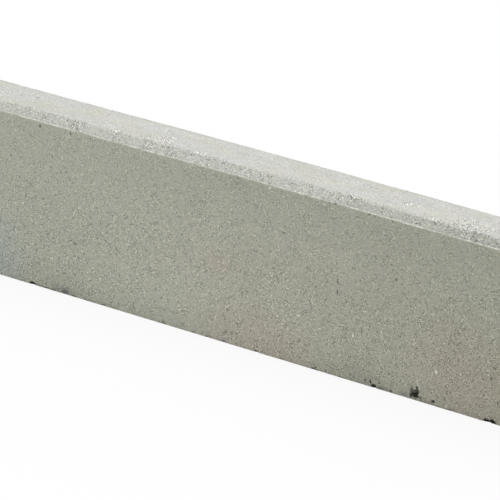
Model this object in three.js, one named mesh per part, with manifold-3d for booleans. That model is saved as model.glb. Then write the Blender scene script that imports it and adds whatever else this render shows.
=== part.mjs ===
// A straight concrete kerb stone, pressed in one piece and stood on edge to hold the side of a path.
//
// Millimetres. X runs along the kerb line, -Y is the face that shows above the lawn or road, +Z is up.
// The origin is the middle of the bed, the narrow face that the stone stands on.

import * as THREE from "three";
import { mergeVertices } from "three/addons/utils/BufferGeometryUtils.js";
import Module from "manifold-3d";

const wasm = await Module();
wasm.setup();

// Overall sizes
const LENGTH = 1000;
const THICKNESS = 60;
const HEIGHT = 200;

// The front top arris: the press plate forms a bevel that turns softly into the top, and the
// plate's rim leaves a narrow shelf below it
const CHAMFER_RUN = 8.5;
const CHAMFER_RISE = 8.5;
const CHAMFER_HEAD_RADIUS = 4.5;
const PRESS_SHELF = 1.2;

// The other arrises are crisp, with the small round that concrete takes from its mould
const BACK_ARRIS_RADIUS = 1;
const FOOT_ARRIS_RADIUS = 1;
const END_ARRIS_RADIUS = 1.5;
const QUARTER_ROUND_STEPS = 2; // two flats for each step

// Pockets along the foot of the front face, where the stiff mix didn't close round its gravel.
// Each one is an ellipsoid: its centre along the stone from the middle and up from the bed,
// then its full length and height on the face, and how deep it goes in.
const POCKETS = [
  { along: 218.8, up: 5, length: 12.6, height: 6.6, depth: 4.4 },
  { along: 219, up: 3.6, length: 10.6, height: 4.4, depth: 3 },
  { along: 221.7, up: 8.6, length: 5.6, height: 9.4, depth: 3.6 },
  { along: 215.6, up: 9.2, length: 4.6, height: 7, depth: 2.4 },
  { along: 221.9, up: 13.6, length: 2.2, height: 7.6, depth: 1.6 },
  { along: 243.6, up: 4.7, length: 4.2, height: 3.4, depth: 1.8 },
  { along: 314, up: 1.2, length: 14, height: 4.4, depth: 2.2 },
  { along: 320.6, up: 2.4, length: 8, height: 5.2, depth: 1.6 },
  { along: 165.5, up: 1.9, length: 8, height: 4.8, depth: 2 },
  { along: -305.7, up: 1.4, length: 8, height: 4.4, depth: 2 },
  { along: -258.5, up: 3.2, length: 9, height: 5, depth: 1.2 },
];
const POCKET_SIDES = 12;
const POCKET_RINGS = 8;

const OVERCUT = 5; // how far a cutting prism runs past the stone
const CONCRETE = { color: 0xb6b6ab, roughness: 0.93, metalness: 0 };

const front = -THICKNESS / 2;
const back = THICKNESS / 2;

// The section across the kerb, counter-clockwise: x is the depth from front to back, y the height.
function sectionOutline() {
  const chamferFoot = front + PRESS_SHELF;
  const chamferStart = HEIGHT - CHAMFER_RISE;
  const slope = Math.atan2(CHAMFER_RISE, CHAMFER_RUN);
  const head = CHAMFER_HEAD_RADIUS;
  const headStart = chamferFoot + CHAMFER_RUN + head * Math.tan(slope / 2);
  const foot = FOOT_ARRIS_RADIUS;
  const crown = BACK_ARRIS_RADIUS;
  const outline = new THREE.Shape();
  outline.absarc(headStart, HEIGHT - head, head, 0.5 * Math.PI, 0.5 * Math.PI + slope);
  outline.lineTo(chamferFoot, chamferStart);
  outline.lineTo(front, chamferStart);
  outline.absarc(front + foot, foot, foot, Math.PI, 1.5 * Math.PI);
  outline.absarc(back - foot, foot, foot, -0.5 * Math.PI, 0);
  outline.absarc(back - crown, HEIGHT - crown, crown, 0, 0.5 * Math.PI);
  return outline;
}

// A rectangle round the origin with its four corners rounded.
function roundedRectangle(width, height, radius) {
  const right = width / 2 - radius;
  const top = height / 2 - radius;
  const corners = [
    [right, top],
    [-right, top],
    [-right, -top],
    [right, -top],
  ];
  const outline = new THREE.Shape();
  corners.forEach(([x, y], quarter) => {
    const start = (quarter * Math.PI) / 2;
    outline.absarc(x, y, radius, start, start + Math.PI / 2);
  });
  return outline;
}

function prism(outline, depth) {
  return new THREE.ExtrudeGeometry(outline, {
    depth,
    bevelEnabled: false,
    curveSegments: QUARTER_ROUND_STEPS,
  });
}

// A closed three.js geometry as a solid for joining and cutting.
function solidOf(geometry) {
  geometry.deleteAttribute("normal");
  geometry.deleteAttribute("uv");
  const merged = mergeVertices(geometry, 1e-4);
  return new wasm.Manifold(
    new wasm.Mesh({
      numProp: 3,
      vertProperties: merged.attributes.position.array,
      triVerts: new Uint32Array(merged.index.array),
    }),
  );
}

function geometryOf(solid) {
  const mesh = solid.getMesh();
  const geometry = new THREE.BufferGeometry();
  geometry.setAttribute("position", new THREE.BufferAttribute(mesh.vertProperties, 3));
  geometry.setIndex(new THREE.BufferAttribute(mesh.triVerts, 1));
  return geometry;
}

// The long bar: the section drawn out along X.
function bar() {
  const alongX = new THREE.Matrix4().makeBasis(
    new THREE.Vector3(0, 1, 0),
    new THREE.Vector3(0, 0, 1),
    new THREE.Vector3(1, 0, 0),
  );
  const geometry = prism(sectionOutline(), LENGTH)
    .applyMatrix4(alongX)
    .translate(-LENGTH / 2, 0, 0);
  return solidOf(geometry);
}

// The stone's outline seen from above, drawn upwards: it rounds the upright arrises of both ends.
function planPrism() {
  const outline = roundedRectangle(LENGTH, THICKNESS, END_ARRIS_RADIUS);
  return solidOf(prism(outline, HEIGHT + 2 * OVERCUT).translate(0, 0, -OVERCUT));
}

// The outline seen from the front, drawn backwards: it rounds the level arrises of both ends.
function elevationPrism() {
  const outline = roundedRectangle(LENGTH, HEIGHT, END_ARRIS_RADIUS);
  const depth = THICKNESS + 2 * OVERCUT;
  const geometry = prism(outline, depth)
    .rotateX(Math.PI / 2)
    .translate(0, depth / 2, HEIGHT / 2);
  return solidOf(geometry);
}

function pocket({ along, up, length, height, depth }) {
  const geometry = new THREE.SphereGeometry(1, POCKET_SIDES, POCKET_RINGS)
    .scale(length / 2, depth, height / 2)
    .translate(along, front, up);
  return solidOf(geometry);
}

function kerbStone() {
  const block = bar().intersect(planPrism()).intersect(elevationPrism());
  const stone = POCKETS.reduce((rest, sizes) => rest.subtract(pocket(sizes)), block);
  const mesh = new THREE.Mesh(geometryOf(stone), new THREE.MeshStandardMaterial(CONCRETE));
  mesh.name = "kerb_stone";
  return mesh;
}

const kerb = new THREE.Group();
kerb.add(kerbStone());

export default kerb;
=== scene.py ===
# %% [markdown]
# # A pressed concrete kerb stone
#
# A kerb stone like this is made in one go: stiff, almost dry concrete is tipped into a steel mould,
# shaken and pressed, and the stone is pushed out at once. So every face shows how it was made.
# The big faces are the print of the mould: flat, sandy, with a few pits where air was trapped.
# The top is the press plate's own print, smooth and pale with cement. The bevel is where the plate
# pushed the mix aside, so its sand lies open in patches, and along the plate's rim runs a thin pale
# line: partly pale cement that the rim left, partly a painted highlight.
#
# The solid model already has the right sizes. This script gives the stone its skin: it builds the
# block again with enough points to carry relief, presses the pockets in, weathers it with one
# Geometry Nodes tree, strews grit over it with another, and paints it with nodes.

# %% Load the solid model
import math
import random

import bmesh
import bpy
import numpy as np
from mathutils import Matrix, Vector, kdtree, noise


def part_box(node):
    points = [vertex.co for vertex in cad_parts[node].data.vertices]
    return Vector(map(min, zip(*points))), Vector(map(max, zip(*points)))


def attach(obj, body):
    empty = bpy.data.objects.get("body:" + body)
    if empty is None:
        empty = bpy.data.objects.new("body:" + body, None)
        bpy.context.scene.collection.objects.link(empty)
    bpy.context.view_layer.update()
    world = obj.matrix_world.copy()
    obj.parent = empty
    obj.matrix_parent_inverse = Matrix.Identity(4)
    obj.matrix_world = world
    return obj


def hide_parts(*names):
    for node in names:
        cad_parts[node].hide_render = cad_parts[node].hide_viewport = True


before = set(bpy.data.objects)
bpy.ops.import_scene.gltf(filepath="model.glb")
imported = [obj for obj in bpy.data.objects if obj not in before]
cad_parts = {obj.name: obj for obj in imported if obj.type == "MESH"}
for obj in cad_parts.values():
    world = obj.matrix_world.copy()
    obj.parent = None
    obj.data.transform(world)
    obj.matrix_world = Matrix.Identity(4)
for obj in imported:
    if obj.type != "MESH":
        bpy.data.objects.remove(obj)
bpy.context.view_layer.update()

MM = 0.001

low_corner, high_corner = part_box("kerb_stone")
LENGTH = high_corner.x - low_corner.x
THICKNESS = high_corner.y - low_corner.y
HEIGHT = high_corner.z - low_corner.z
FRONT = low_corner.y
BACK = high_corner.y
print(f"kerb stone: {LENGTH:.3f} long, {THICKNESS:.3f} thick, {HEIGHT:.3f} high, in metres")

# %% [markdown]
# ## The camera
#
# A long lens from well back keeps the long edges almost parallel.
# The lens is given in millimetres on a 36 mm wide sensor. The camera is turned by two plain angles:
# how far it stands to the right of the front, and how far it looks down.

# %% Place the camera
CAMERA_PLACE = Vector((3.4439, -4.2184, 2.1504))
TO_THE_RIGHT = math.radians(39.43)
LOOKING_DOWN = math.radians(20.59)
LENS = 398.4
SENSOR = 36.0
FARTHEST = 100.0

scene = bpy.context.scene


def put(name, data):
    """Adds an object with this data to the scene."""
    thing = bpy.data.objects.new(name, data)
    scene.collection.objects.link(thing)
    return thing


camera_data = bpy.data.cameras.new("camera")
camera_data.sensor_width = SENSOR
camera_data.lens = LENS
camera_data.clip_end = FARTHEST
camera = put("camera", camera_data)
scene.camera = camera

towards_camera = Vector((
    math.sin(TO_THE_RIGHT) * math.cos(LOOKING_DOWN),
    -math.cos(TO_THE_RIGHT) * math.cos(LOOKING_DOWN),
    math.sin(LOOKING_DOWN),
))
camera.location = CAMERA_PLACE
camera.rotation_euler = towards_camera.to_track_quat("Z", "Y").to_euler()
print(f"camera is {CAMERA_PLACE.length:.2f} m from the stone")

# %% [markdown]
# ## Node trees written as sums
#
# Nodes wired by hand are slow to read. A small class wraps a node's output, so that masks can be
# added or multiplied like numbers, and each sign adds its own Math node. Everything else goes through
# one method, which takes a node's type, what goes into its sockets, and its settings.

# %% A graph that can be written as a sum
def sign(operation, swapped=False):
    """A method for a wire's sign, such as +. It adds one Math node."""

    def method(wire, other):
        values = (other, wire) if swapped else (wire, other)
        return wire.graph.math(operation, *values)

    return method


class Wire:
    """One output of a node. Arithmetic on it adds Math nodes."""

    def __init__(self, graph, socket):
        self.graph = graph
        self.socket = socket

    __add__ = __radd__ = sign("ADD")
    __sub__ = sign("SUBTRACT")
    __rsub__ = sign("SUBTRACT", swapped=True)
    __mul__ = __rmul__ = sign("MULTIPLY")
    __truediv__ = sign("DIVIDE")
    __rtruediv__ = sign("DIVIDE", swapped=True)

    def rise(self, start, end, low=0.0, high=1.0):
        """Low up to start, high from end on, and a soft rise between. It falls where start > end."""
        sockets = {"Value": self, "From Min": start, "From Max": end, "To Min": low, "To Max": high}
        return self.graph.node("ShaderNodeMapRange", sockets, interpolation_type="SMOOTHSTEP")

    def window(self, start, full, full_end, end):
        """1 between the inner two numbers, with a soft fall to 0 at the outer two."""
        return self.rise(start, full) * self.rise(end, full_end)


class Graph:
    """A node tree that is filled from Python."""

    def __init__(self, tree):
        self.tree = tree
        self.tree.nodes.clear()

    def node(self, kind, sockets=None, output=0, **settings):
        """Adds a node: its settings first, then a value or a Wire for each socket named."""
        node = self.tree.nodes.new(kind)
        for name, value in settings.items():
            setattr(node, name, value)
        for key, value in (sockets or {}).items():
            self.plug(node, key, value)
        return Wire(self, self.find(node.outputs, output)) if node.outputs else node

    @staticmethod
    def find(sockets, key):
        """A socket by its number, or by its name among those that are in use."""
        if isinstance(key, int):
            return sockets[key]
        return next(one for one in sockets if one.name == key and one.enabled)

    def plug(self, node, key, value):
        socket = self.find(node.inputs, key)
        if isinstance(value, Wire):
            self.tree.links.new(value.socket, socket)
        else:
            socket.default_value = value

    def math(self, operation, *values):
        return self.node("ShaderNodeMath", dict(enumerate(values)), operation=operation)

    def noise(self, place, size, detail=2.0, roughness=0.5):
        """Soft noise from 0 to 1 whose lumps are about size across."""
        sockets = {"Vector": place, "Scale": 1.0 / size, "Detail": detail, "Roughness": roughness}
        return self.node("ShaderNodeTexNoise", sockets)

    def swell(self, *noise):
        """The same noise about zero, from -0.5 to 0.5."""
        return self.noise(*noise) - 0.5

    def cells(self, place, size):
        """How far off the nearest middle of random grains is; the grains are about size across."""
        return self.node("ShaderNodeTexVoronoi", {"Vector": place, "Scale": 1.0 / size})

    def vector(self, operation, vector, other):
        """Vector maths with a vector, or with a number where the operation is SCALE."""
        key = "Scale" if operation == "SCALE" else 1
        return self.node("ShaderNodeVectorMath", {0: vector, key: other}, operation=operation)

    def axes(self, place):
        """The three numbers of a place."""
        x = self.node("ShaderNodeSeparateXYZ", {0: place})
        return x, self.beside(x, "Y"), self.beside(x, "Z")

    def attribute(self, name):
        """A number stored on the mesh, for a shader."""
        return self.node("ShaderNodeAttribute", output="Fac", attribute_name=name)

    def beside(self, wire, output):
        """Another output of the node that a wire comes from."""
        return Wire(self, self.find(wire.socket.node.outputs, output))


def new_material(name):
    """A material, the empty graph of its nodes, and the place on the object that it paints."""
    material = bpy.data.materials.new(name)
    material.use_nodes = True
    graph = Graph(material.node_tree)
    return material, graph, graph.node("ShaderNodeTexCoord", output="Object")


def display(red, green, blue):
    """A colour read off a screen, 0 to 255, as the linear values that a shader wants."""
    return tuple(((v / 255 + 0.055) / 1.055) ** 2.4 for v in (red, green, blue))


print("graph helper ready")

# %% [markdown]
# ## The room: a white floor, a large soft lamp and an even sky
#
# Concrete is matt, so its look comes from how much sky each face sees. A wide lamp overhead lights the
# top more than the bevel and the bevel more than the front, and the white floor throws light back up
# at the front. The floor turns clear when seen from below, so the bed can be looked at too.

# %% Light the stone
SKY_LIGHT = 0.60
LAMP_PLACE = Vector((-0.1, 0.25, 2.4))
LAMP_SIDE = 2.2
LAMP_POWER = 33.0
FILL_PLACE = Vector((-1.6, -1.5, 0.7))
FILL_SIDE = 1.0
FILL_POWER = 4.0
WHITE = (1.0, 1.0, 1.0, 1.0)

scene.view_settings.view_transform = "Standard"


def seen_directly(graph):
    """1 for what the camera sees, straight, in a gloss or through glass; 0 for light that bounces."""
    ray = graph.node("ShaderNodeLightPath", output="Is Camera Ray")
    glossy = graph.beside(ray, "Is Glossy Ray")
    through = graph.beside(ray, "Is Transmission Ray")
    return graph.math("MAXIMUM", graph.math("MAXIMUM", ray, glossy), through)


def make_sky():
    world = bpy.data.worlds.new("studio_white")
    world.use_nodes = True
    graph = Graph(world.node_tree)
    seen = seen_directly(graph)
    strength = seen * (1.0 - SKY_LIGHT) + SKY_LIGHT
    sky = graph.node("ShaderNodeBackground", {"Color": WHITE, "Strength": strength})
    graph.node("ShaderNodeOutputWorld", {"Surface": sky})
    return world


def make_lamp(name, place, side, power, aim):
    data = bpy.data.lights.new(name, "AREA")
    data.shape = "SQUARE"
    data.size = side
    data.energy = power
    lamp = put(name, data)
    lamp.location = place
    lamp.rotation_euler = (place - aim).to_track_quat("Z", "Y").to_euler()
    lamp.visible_camera = False


scene.world = make_sky()
middle = Vector((0.0, 0.0, HEIGHT / 2))
make_lamp("overhead_lamp", LAMP_PLACE, LAMP_SIDE, LAMP_POWER, middle)
make_lamp("side_lamp", FILL_PLACE, FILL_SIDE, FILL_POWER, middle)
print(f"sky {SKY_LIGHT}, overhead {LAMP_POWER} W, side {FILL_POWER} W")

# %% Lay the floor
FLOOR_REACH = 30.0
FLOOR_HEIGHT = 0.2 * MM  # a hair above the bed, so that the bed shows from below
FLOOR_WHITE = 0.85
FLOOR_GLOW = 0.88
SHADOW_REACH = 0.7


def floor_paper():
    """White paper that keeps a soft shadow near the stone, and is plain white further off."""
    material, graph, place = new_material("floor_paper")
    x, y, _ = graph.axes(place)
    gap = graph.math("MAXIMUM", graph.math("ABSOLUTE", x) - LENGTH / 2, graph.math("ABSOLUTE", y))
    glowing = gap.rise(0.0, SHADOW_REACH, FLOOR_GLOW, 1.0)

    paper = graph.node("ShaderNodeBsdfDiffuse", {"Color": (FLOOR_WHITE,) * 3 + (1.0,)})
    glow = graph.node("ShaderNodeEmission", {"Color": WHITE, "Strength": 1.0})
    share = seen_directly(graph) * glowing
    lit = graph.node("ShaderNodeMixShader", {0: share, 1: paper, 2: glow})
    clear = graph.node("ShaderNodeBsdfTransparent")
    under = graph.node("ShaderNodeNewGeometry", output="Backfacing")
    one_way = graph.node("ShaderNodeMixShader", {0: under, 1: lit, 2: clear})
    graph.node("ShaderNodeOutputMaterial", {"Surface": one_way})
    return material


def make_floor():
    mesh = bpy.data.meshes.new("floor")
    signs = [(-1, -1), (1, -1), (1, 1), (-1, 1)]
    points = [(FLOOR_REACH * x, FLOOR_REACH * y, FLOOR_HEIGHT) for x, y in signs]
    mesh.from_pydata(points, [], [(0, 1, 2, 3)])
    mesh.materials.append(floor_paper())
    return put("floor", mesh)


make_floor()
print("floor laid")

# %% [markdown]
# ## The stone's section
#
# The stone is one section drawn out along its length. It runs up the front, in over the narrow shelf
# that the press plate's rim leaves, up the bevel and round its head, across the top, down the back
# and along the bed, with a small round where two faces meet. Opposite sides get the same number of
# points, because a grid between them closes the ends.

# %% Draw the section
CELL = 3.55 * MM
BEVEL_RUN = 8.5 * MM
BEVEL_RISE = 8.5 * MM
SHELF = 1.2 * MM
HEAD_ROUND = 4.5 * MM
TOP_BACK_ROUND = 1.0 * MM
FOOT_ROUND = 1.0 * MM
END_ROUND = 1.5 * MM
FLANK_CELLS = 3
HEAD_CELLS = 2
END_ROUND_STEPS = 3

UP_CELLS = round(HEIGHT / CELL)
ACROSS_CELLS = round(THICKNESS / CELL)
LEVEL = 90.0  # the angle of a normal that points straight up, in degrees

slope = math.atan2(BEVEL_RISE, BEVEL_RUN)
tangent = HEAD_ROUND * math.tan(slope / 2)
uphill = Vector((math.cos(slope), math.sin(slope)))
rim = Vector((FRONT, HEIGHT - BEVEL_RISE))
bevel_foot = Vector((FRONT + SHELF, HEIGHT - BEVEL_RISE))
bevel_corner = bevel_foot + Vector((BEVEL_RUN, BEVEL_RISE))
flank_end = bevel_corner - tangent * uphill
top_start = bevel_corner + Vector((tangent, 0))


def straight(start, end, cells):
    """Points in even steps from start up to, but not with, the end."""
    return [Vector(start).lerp(Vector(end), i / cells) for i in range(cells)]


def arc(centre, radius, start, end, cells):
    """The same along an arc, between two angles in degrees."""
    angles = [math.radians(start + (end - start) * i / cells) for i in range(cells)]
    return [Vector(centre) + radius * Vector((math.cos(a), math.sin(a))) for a in angles]


def bevel_head(cells):
    """The arc that turns the bevel into the top."""
    centre = (top_start.x, HEIGHT - HEAD_ROUND)
    return arc(centre, HEAD_ROUND, LEVEL + math.degrees(slope), LEVEL, cells)


def section_sides():
    """The four sides, each from its first corner up to the next, as (depth, height) points."""
    foot = FOOT_ROUND
    crown = TOP_BACK_ROUND
    front = (
        arc((FRONT + foot, foot), foot, 225, 180, 1)
        + straight((FRONT, foot), rim, UP_CELLS - FLANK_CELLS - HEAD_CELLS - 2)
        + straight(rim, bevel_foot, 1)
        + straight(bevel_foot, flank_end, FLANK_CELLS)
        + bevel_head(HEAD_CELLS)
    )
    top_end = Vector((BACK - crown, HEIGHT))
    top = straight(top_start, top_end, ACROSS_CELLS - 1) + [top_end]
    back = (
        arc((BACK - crown, HEIGHT - crown), crown, 45, 0, 1)
        + straight((BACK, HEIGHT - crown), (BACK, foot), UP_CELLS - 2)
        + [Vector((BACK, foot))]
    )
    bed = (
        arc((BACK - foot, foot), foot, -45, -90, 1)
        + straight((BACK - foot, 0), (FRONT + foot, 0), ACROSS_CELLS - 2)
        + [Vector((FRONT + foot, 0))]
    )
    return front, top, back, bed


front_side, top_side, back_side, bed_side = section_sides()
section = front_side + top_side + back_side + bed_side
print([len(side) for side in (front_side, top_side, back_side, bed_side)], "points on the four sides")

# %% [markdown]
# Many finishes follow the section: the pale line sits on the rim, the open sand on the bevel, and the
# cement skin on the top. To place them, think of a strip of paper laid over the front, top and back.
# It is zero at the rim, counts up over the bevel, the top and down the back, and counts down along
# the front. Every point of the skin gets the strip's number at its place.

# %% Lay a strip over the section
HEAD_STEPS = 4


def strip_points():
    head = bevel_head(HEAD_STEPS)
    front_foot = Vector((FRONT, 0))
    return [front_foot, rim, bevel_foot, *head, top_start, Vector((BACK, HEIGHT)), Vector((BACK, 0))]


def unroll(depth, height):
    """The strip's number at the nearest place of the strip, and how far off the strip the point is."""
    points = strip_points()
    number = np.zeros_like(depth)
    off = np.full_like(depth, LENGTH)
    passed = -(rim - points[0]).length
    for start, end in zip(points, points[1:]):
        way = end - start
        share = ((depth - start.x) * way.x + (height - start.y) * way.y) / way.length_squared
        share = np.clip(share, 0.0, 1.0)
        gap = np.hypot(depth - start.x - share * way.x, height - start.y - share * way.y)
        number = np.where(gap < off, passed + share * way.length, number)
        off = np.minimum(off, gap)
        passed += way.length
    return number, off


FLANK_TOP = SHELF + (flank_end - bevel_foot).length
BEVEL_TOP = FLANK_TOP + HEAD_ROUND * slope
TOP_EDGE = BEVEL_TOP + BACK - top_start.x
print(f"strip: bevel from {SHELF / MM:.1f} to {BEVEL_TOP / MM:.1f} mm, back edge at {TOP_EDGE / MM:.1f} mm")

# %% [markdown]
# ## The block
#
# The section is set out again and again along the length, a few millimetres apart, and neighbouring
# rings are joined by square faces. The last rings step inwards round a small arc, which rounds the
# end arrises, and a grid woven between the four sides closes each end.

# %% Build the block
def inward(points):
    """For each point of a closed outline, the way in, so that all sides move in by the same amount."""
    ways = []
    for before, here, after in zip(points[-1:] + points[:-1], points, points[1:] + points[:1]):
        first = (here - before).normalized()
        second = (after - here).normalized()
        normal_one = Vector((first.y, -first.x))
        normal_two = Vector((second.y, -second.x))
        middle_way = (normal_one + normal_two).normalized()
        ways.append(middle_way / middle_way.dot(normal_one))
    return ways


def stations():
    """Places along the stone, each with how far the section is drawn in there."""
    half = LENGTH / 2 - END_ROUND
    cells = round(2 * half / CELL)
    places = [(-half + 2 * half * i / cells, 0.0) for i in range(cells + 1)]
    angles = [0.5 * math.pi * step / END_ROUND_STEPS for step in range(1, END_ROUND_STEPS + 1)]
    right = [(half + END_ROUND * math.sin(a), END_ROUND * (1 - math.cos(a))) for a in angles]
    left = [(-along, depth) for along, depth in reversed(right)]
    return left + places + right


def close_end(block, ring):
    """Weaves a grid of faces between the four sides of the last ring."""
    up = UP_CELLS
    across = ACROSS_CELLS
    front = ring[: up + 1]
    top = ring[up : up + across + 1]
    back = ring[up + across : 2 * up + across + 1][::-1]
    bed = (ring[2 * up + across :] + ring[:1])[::-1]
    grid = {(i, 0): vertex for i, vertex in enumerate(front)}
    grid.update({(i, across): vertex for i, vertex in enumerate(back)})
    grid.update({(0, j): vertex for j, vertex in enumerate(bed)})
    grid.update({(up, j): vertex for j, vertex in enumerate(top)})
    for i in range(1, up):
        for j in range(1, across):
            u = i / up
            v = j / across
            sides = (1 - v) * front[i].co + v * back[i].co
            ends = (1 - u) * bed[j].co + u * top[j].co
            corners = (1 - u) * ((1 - v) * front[0].co + v * back[0].co)
            corners += u * ((1 - v) * front[up].co + v * back[up].co)
            grid[i, j] = block.verts.new(sides + ends - corners)
    for i in range(up):
        for j in range(across):
            block.faces.new((grid[i, j], grid[i + 1, j], grid[i + 1, j + 1], grid[i, j + 1]))


def build_block():
    block = bmesh.new()
    ways = inward(section)
    rings = []
    for along, depth in stations():
        outline = [point + depth * way for point, way in zip(section, ways)]
        rings.append([block.verts.new((along, point.x, point.y)) for point in outline])
    for ring, following in zip(rings, rings[1:]):
        for i in range(len(ring)):
            j = (i + 1) % len(ring)
            block.faces.new((ring[i], following[i], following[j], ring[j]))
    close_end(block, rings[0])
    close_end(block, rings[-1])
    bmesh.ops.recalc_face_normals(block, faces=block.faces)
    return block


block = build_block()
volume = block.calc_volume() / (10 * MM) ** 3
print(f"block: {len(block.verts)} points, {len(block.faces)} faces, volume {volume:.0f} cm3")

# %% [markdown]
# ## Pits, pockets and chips
#
# Three kinds of mark break the faces. Air that was trapped against the mould leaves small round pits.
# Along the foot the dry mix didn't close round its gravel, so there are ragged pockets and chips,
# nearly black with moss and dirt and with shade painted inside them. Here and there a pale pebble lies
# bare. The pockets are the solid model's own, and the marks that catch the eye have set places; a
# seeded draw strews the rest.
# All of them need finer faces round them, so they're listed before anything is pressed in.

# %% List the marks
random.seed(17)

# along the stone, up from the bed, length, height and depth in millimetres, and how dark it is painted
# with moss, dirt and shade; the big pocket is made of the first five
POCKETS = [
    (218.8, 5.0, 12.6, 6.6, 4.4, 0.92), (219.0, 3.6, 10.6, 4.4, 3.0, 0.5), (221.7, 8.6, 5.6, 9.4, 3.6, 0.7),
    (215.6, 9.2, 4.6, 7, 2.4, 0.5), (221.9, 13.6, 2.2, 7.6, 1.6, 0.65), (243.6, 4.7, 4.2, 3.4, 1.8, 0.85),
    (314.0, 1.2, 14, 4.4, 2.2, 1.0), (320.6, 2.4, 8, 5.2, 1.6, 0.5), (165.5, 1.9, 8, 4.8, 2, 0.9),
    (-305.7, 1.4, 8, 4.4, 2, 1.0), (-258.5, 3.2, 9, 5, 1.2, 0.4),
]
# small chips and holes that the solid model leaves out
CHIPS = [
    (218.4, 9.4, 6, 6.4, 0.4, 0.7), (214.2, 4.4, 5, 4.4, 0.8, 0.5), (113.6, 191.0, 2.8, 2.4, 1.0, 0.7),
    (-298, 0.8, 9, 2.4, 0.8, 0.45), (-286.5, 0.9, 6, 2.8, 1.0, 0.6), (-277, 1.4, 10, 2.4, 0.6, 0.3),
    (-246, 1.0, 7, 2.4, 0.8, 0.4), (-227.4, 0.9, 5, 2.2, 0.8, 0.5), (-204, 0.8, 8, 1.8, 0.7, 0.4),
    (-120, 0.6, 8, 2.0, 0.7, 0.45), (-78, 0.6, 4, 2.2, 0.8, 0.35), (-58.5, 0.7, 4.5, 2.6, 1.0, 0.6),
    (-36.5, 0.9, 5, 2.8, 1.0, 0.45), (-29.7, 6.3, 2.2, 2.2, 1.0, 0.3), (9, 1.0, 5.5, 3.2, 1.4, 0.8),
    (43, 0.6, 7, 2.2, 0.8, 0.3), (86, 1.0, 9, 2.6, 1.0, 0.6), (88, 3.6, 2.2, 2.2, 1.2, 0.45),
    (122, 0.8, 7, 2.4, 0.8, 0.3), (161.3, 5.4, 2.6, 3.2, 1.4, 0.8), (154.5, 5.7, 3.2, 3, 0.8, 0.35),
    (172.6, 7.0, 2.2, 2.4, 1.0, 0.4), (175, 1.9, 8, 2.6, 0.8, 0.35), (187.7, 2.4, 4, 4.4, 1.0, 0.4),
    (264, 0.9, 9, 2.2, 0.7, 0.4),
]

# dark pits and pale pebbles that stand out, in millimetres: along the stone, then up from the bed (on
# the bevel the share of the way up it, on the top the depth from its middle), and the radius
FRONT_PITS = [
    (-292, 186, 1.5), (44, 143, 0.8), (195, 135, 0.8), (193, 127, 0.8), (219, 137, 0.7), (117, 105.5, 0.9),
    (117, 95, 0.9), (36, 46, 0.8), (-63, 81.5, 0.7), (-17, 25, 0.8), (-34, 12, 0.9), (-25, 12.5, 0.9),
    (-272, 112, 0.7), (-255, 142, 0.7), (-200, 76, 0.7), (322, 62, 1.1), (317, 49, 0.9), (326, 24, 0.9),
    (188.3, 189.4, 0.9), (158.4, 189.8, 0.8), (165, 189.8, 0.7), (-248.5, 188.2, 0.8), (-15.7, 189.2, 0.7),
    (48.7, 180.8, 0.6), (235, 188.4, 0.6),
]
BEVEL_PITS = [
    (-242, 0.3, 1.1), (-126, 0.85, 0.9), (-74, 0.95, 0.8), (-82.5, 0.95, 0.7), (24, 0.1, 0.7),
    (170, 0.8, 0.8), (222, 0.25, 0.8), (236.8, 0.85, 1.1), (255, 0.85, 0.9), (279.5, 0.5, 0.7),
    (294, 0.2, 1.0), (303, 0.4, 0.8), (317.3, 0.57, 0.8),
]
TOP_PITS = [
    (266.3, -14.5, 1.1), (-119.6, -17, 0.9), (-138.4, 8.7, 1.0), (194, 2.4, 0.8), (-127, -14.8, 0.8),
    (-330, 11.2, 0.9), (-200.5, 16, 0.7), (245, 13.5, 0.7),
]
FRONT_PEBBLES = [
    (246.7, 38.6, 2.1), (138, 51, 1.25), (-44, 89.5, 1.0), (-36.5, 90, 1.0), (-31.5, 41.5, 1.25),
    (-312, 42, 1.15), (-261, 157, 1.15), (26.6, 188.6, 1.6), (45, 182.8, 1.0),
]
BEVEL_PEBBLES = [
    (-147.7, 0.35, 1.0), (-138, 0.58, 1.1), (-101.8, 0.95, 1.0), (-66.7, 0.63, 0.9), (-5.8, 0.45, 1.0),
    (9.6, 0.12, 1.0), (140, 0.08, 0.9), (197.3, 0.1, 1.0), (226.7, 0.35, 0.9), (231, 1.0, 1.1),
    (238.5, 1.0, 1.2),
]
TOP_PEBBLES = [
    (-192, -19.5, 2.6), (-132, -14, 1.6), (174, -15.5, 2.0), (185.5, -0.8, 2.2), (190, -1.8, 2.3),
    (263, -17, 1.9), (271.4, -18, 1.7), (287.5, -12.5, 2.1), (-71.6, -18.4, 1.4), (130, -19.2, 1.4),
    (199.3, -1, 1.4),
]

PITS_ON_BACK = 44
PITS_ON_END = 7
PIT_RADII = (0.6 * MM, 1.5 * MM)
EDGE_MARGIN = 6 * MM
PLAIN_STRETCHES = ((-0.98, -0.74), (0.74, 0.98))  # shares of the half length where no mark has a set place
CHIPS_A_STRETCH = 5
CHIPS_ON_BACK = 26
CHIP_SIZES = ((3.0, 9.0), (2.0, 3.4), (0.6, 1.6))  # the least and most length, height and depth
CHIP_UP = (0.5, 1.4)
# how dark a strewn chip is painted with dirt and shade
CHIP_SOIL_AND_SHADE = (0.3, 0.9)
TINY = 1e-6
POCKET_LEAN = 0.3
POCKET_RAGGED = 0.25


def shares(offset, radii):
    """An offset as shares of a rounded form's half sizes: its length is 1 at the form's rim."""
    return Vector(part / radius for part, radius in zip(offset, radii))


class Mark:
    """A rounded mark: centre on the skin, half sizes, the way into the stone, and how much dirt and painted
    shade it holds.
    """

    def __init__(self, centre, radii, way_in, soiled_and_shaded=0.0, ragged=0.15):
        self.centre = Vector(centre)
        self.radii = Vector(radii)
        self.way_in = Vector(way_in).normalized()
        self.soiled_and_shaded = soiled_and_shaded
        self.ragged = ragged
        self.reach = max(radii)

    def gap(self, point):
        """How far a point is from the mark's rim, seen from its centre; less than 0 inside it."""
        offset = point - self.centre
        return offset.length * (1.0 - 1.0 / max(shares(offset, self.radii).length, TINY))


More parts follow.
